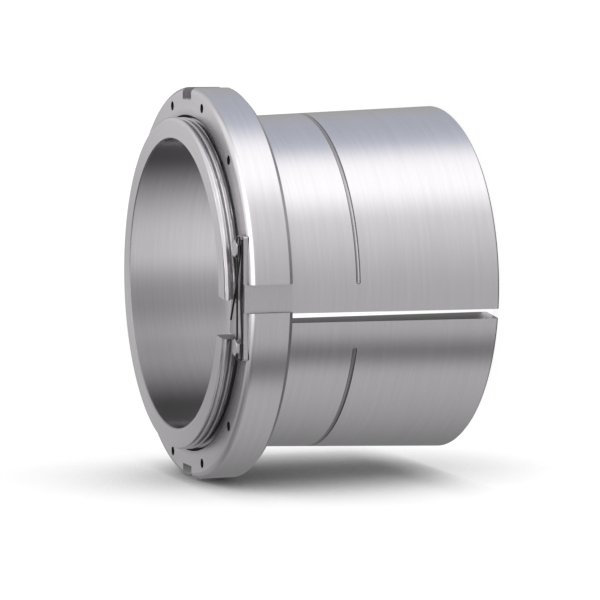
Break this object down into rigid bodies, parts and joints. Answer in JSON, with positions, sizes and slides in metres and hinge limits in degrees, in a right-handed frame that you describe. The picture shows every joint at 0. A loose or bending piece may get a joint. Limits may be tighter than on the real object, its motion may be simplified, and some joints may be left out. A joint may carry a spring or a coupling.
{
  "type": "bearing adapter sleeve",
  "caption": "Split tapered sleeve with a threaded end, slotted lock nut, bolted locking clip and tie wire, for seating a bearing on a plain shaft.",
  "frame": {"origin": "centre of the large end's face, where the sleeve's axis meets the surface it stands on", "axes": "+Z along the sleeve's axis from the large end to the threaded end; -Y out through the nut slot that holds the locking clip; +X towards the upper clip bolt"},
  "size_m": [0.2594, 0.2594, 0.186],
  "materials": {
    "sleeve_steel": "fine turned",
    "nut_steel": "fine turned",
    "clip_steel": "satin plate",
    "bolt_steel": "satin",
    "wire_black": "black annealed"
  },
  "bodies": {
    "root": {"adapter_sleeve": "sleeve_steel", "lock_nut": "nut_steel", "locking_clip": "clip_steel", "clip_bolt_upper": "bolt_steel", "clip_bolt_lower": "bolt_steel", "lock_wire": "wire_black"}
  },
  "joints": []
}
